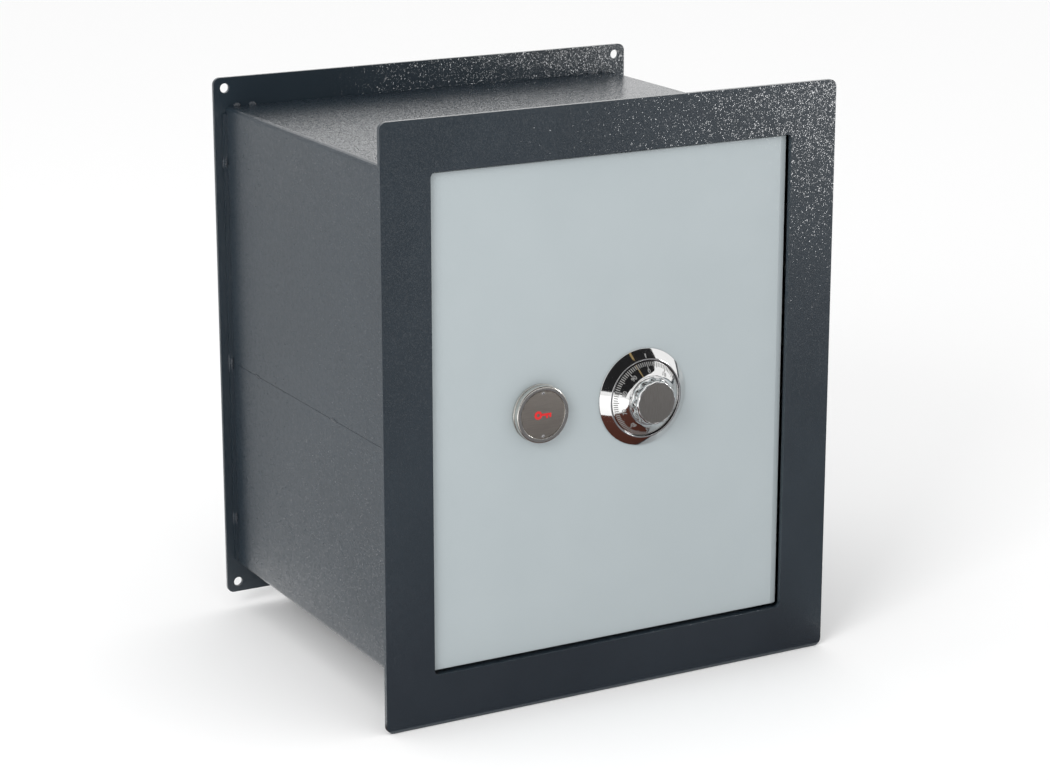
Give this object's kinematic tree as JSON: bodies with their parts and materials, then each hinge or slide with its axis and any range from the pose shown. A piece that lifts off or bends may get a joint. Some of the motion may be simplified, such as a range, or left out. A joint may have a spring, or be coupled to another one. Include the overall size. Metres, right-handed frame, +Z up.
{
  "type": "wall safe",
  "caption": "Wall safe to be walled in: sheet-steel body with front flange and back plate, hinged door with key lock, combination dial and round bolts.",
  "frame": {"origin": "centre of the back plate's rear face", "axes": "+X to the right seen from the front, +Y into the wall, +Z up"},
  "size_m": [0.406, 0.3435, 0.48],
  "materials": {
    "dark_paint": "blue-grey textured powder coat, semi-gloss",
    "light_paint": "light silver-grey fine-textured powder coat, satin",
    "chrome": "mirror chrome",
    "nickel": "satin nickel, fine brushed",
    "zinc": "zinc-plated steel, satin",
    "brass": "machined brass"
  },
  "bodies": {
    "root": {"front_flange": "dark_paint", "back_plate": "dark_paint", "upper_shell": "dark_paint", "lower_shell": "dark_paint", "strike_channel": "dark_paint", "hinge_bracket_upper": "dark_paint", "hinge_bracket_lower": "dark_paint", "hinge_pin_upper": "zinc", "hinge_pin_lower": "zinc", "hinge_washer_upper": "brass", "hinge_washer_lower": "brass", "stop_strip_top": "dark_paint", "stop_strip_bottom": "dark_paint", "shelf": "dark_paint", "shelf_support_left": "dark_paint", "shelf_support_right": "dark_paint"},
    "door": {"door_plate": "light_paint", "door_hinge_block_upper": "zinc", "door_hinge_block_lower": "zinc", "dog_bar": "zinc", "bolt_guide": "zinc", "bolt_stud_upper": "zinc", "bolt_stud_lower": "zinc", "mechanism_cover": "dark_paint", "cover_post_1": "zinc", "cover_post_2": "zinc", "cover_post_3": "zinc", "cover_post_4": "zinc", "cover_screw_1": "zinc", "cover_screw_2": "zinc", "cover_screw_3": "zinc", "cover_screw_4": "zinc", "key_escutcheon": "nickel", "key_guide": "zinc", "key_cover_pin": "zinc", "key_lock_case": "zinc", "key_lock_cover": "zinc", "dial_ring": "chrome", "spindle_bush": "brass", "wheel_case": "zinc", "wheel_case_cover": "zinc", "wheel_post": "brass", "fence_pivot_screw": "zinc"},
    "dial_and_spindle": {"dial": "chrome", "dial_knob": "nickel", "dial_spindle": "zinc", "drive_cam": "brass"},
    "wheel_1": {"combination_wheel_1": "brass"},
    "wheel_2": {"combination_wheel_2": "brass"},
    "wheel_3": {"combination_wheel_3": "brass"},
    "bolt_work": {"bolt_bar": "zinc", "bolt_upper": "zinc", "bolt_middle": "zinc", "bolt_lower": "zinc", "lock_tongue": "zinc"},
    "key_flap": {"key_cover": "nickel", "key_cover_stud": "zinc"},
    "fence": {"fence_lever": "zinc"}
  },
  "joints": [
    {"name": "door_swing", "type": "hinge", "parent": "root", "child": "door", "pos_m": [0.1435, -0.304, 0], "axis": [0, 0, 1], "range_deg": [0, 90]},
    {"name": "dial_turn", "type": "hinge", "parent": "door", "child": "dial_and_spindle", "pos_m": [0.027, -0.3205, 0], "axis": [0, -1, 0], "continuous": true},
    {"name": "wheel_1_turn", "type": "hinge", "parent": "door", "child": "wheel_1", "pos_m": [0.027, -0.3205, 0], "axis": [0, -1, 0], "continuous": true},
    {"name": "wheel_2_turn", "type": "hinge", "parent": "door", "child": "wheel_2", "pos_m": [0.027, -0.3205, 0], "axis": [0, -1, 0], "continuous": true},
    {"name": "wheel_3_turn", "type": "hinge", "parent": "door", "child": "wheel_3", "pos_m": [0.027, -0.3205, 0], "axis": [0, -1, 0], "continuous": true},
    {"name": "bolt_slide", "type": "slide", "parent": "door", "child": "bolt_work", "axis": [-1, 0, 0], "range_m": [0, 0.016]},
    {"name": "key_cover_swing", "type": "hinge", "parent": "door", "child": "key_flap", "pos_m": [-0.067, -0.3205, 0.0173], "axis": [0, -1, 0], "range_deg": [-130, 130]},
    {"name": "fence_lift", "type": "hinge", "parent": "door", "child": "fence", "pos_m": [-0.003, -0.2945, 0.028], "axis": [0, -1, 0], "range_deg": [0, 4]}
  ],
  "couplings": [
    {"joint": "wheel_1_turn", "follows": "dial_turn", "ratio": 1},
    {"joint": "wheel_2_turn", "follows": "dial_turn", "ratio": 1},
    {"joint": "wheel_3_turn", "follows": "dial_turn", "ratio": 1}
  ]
}
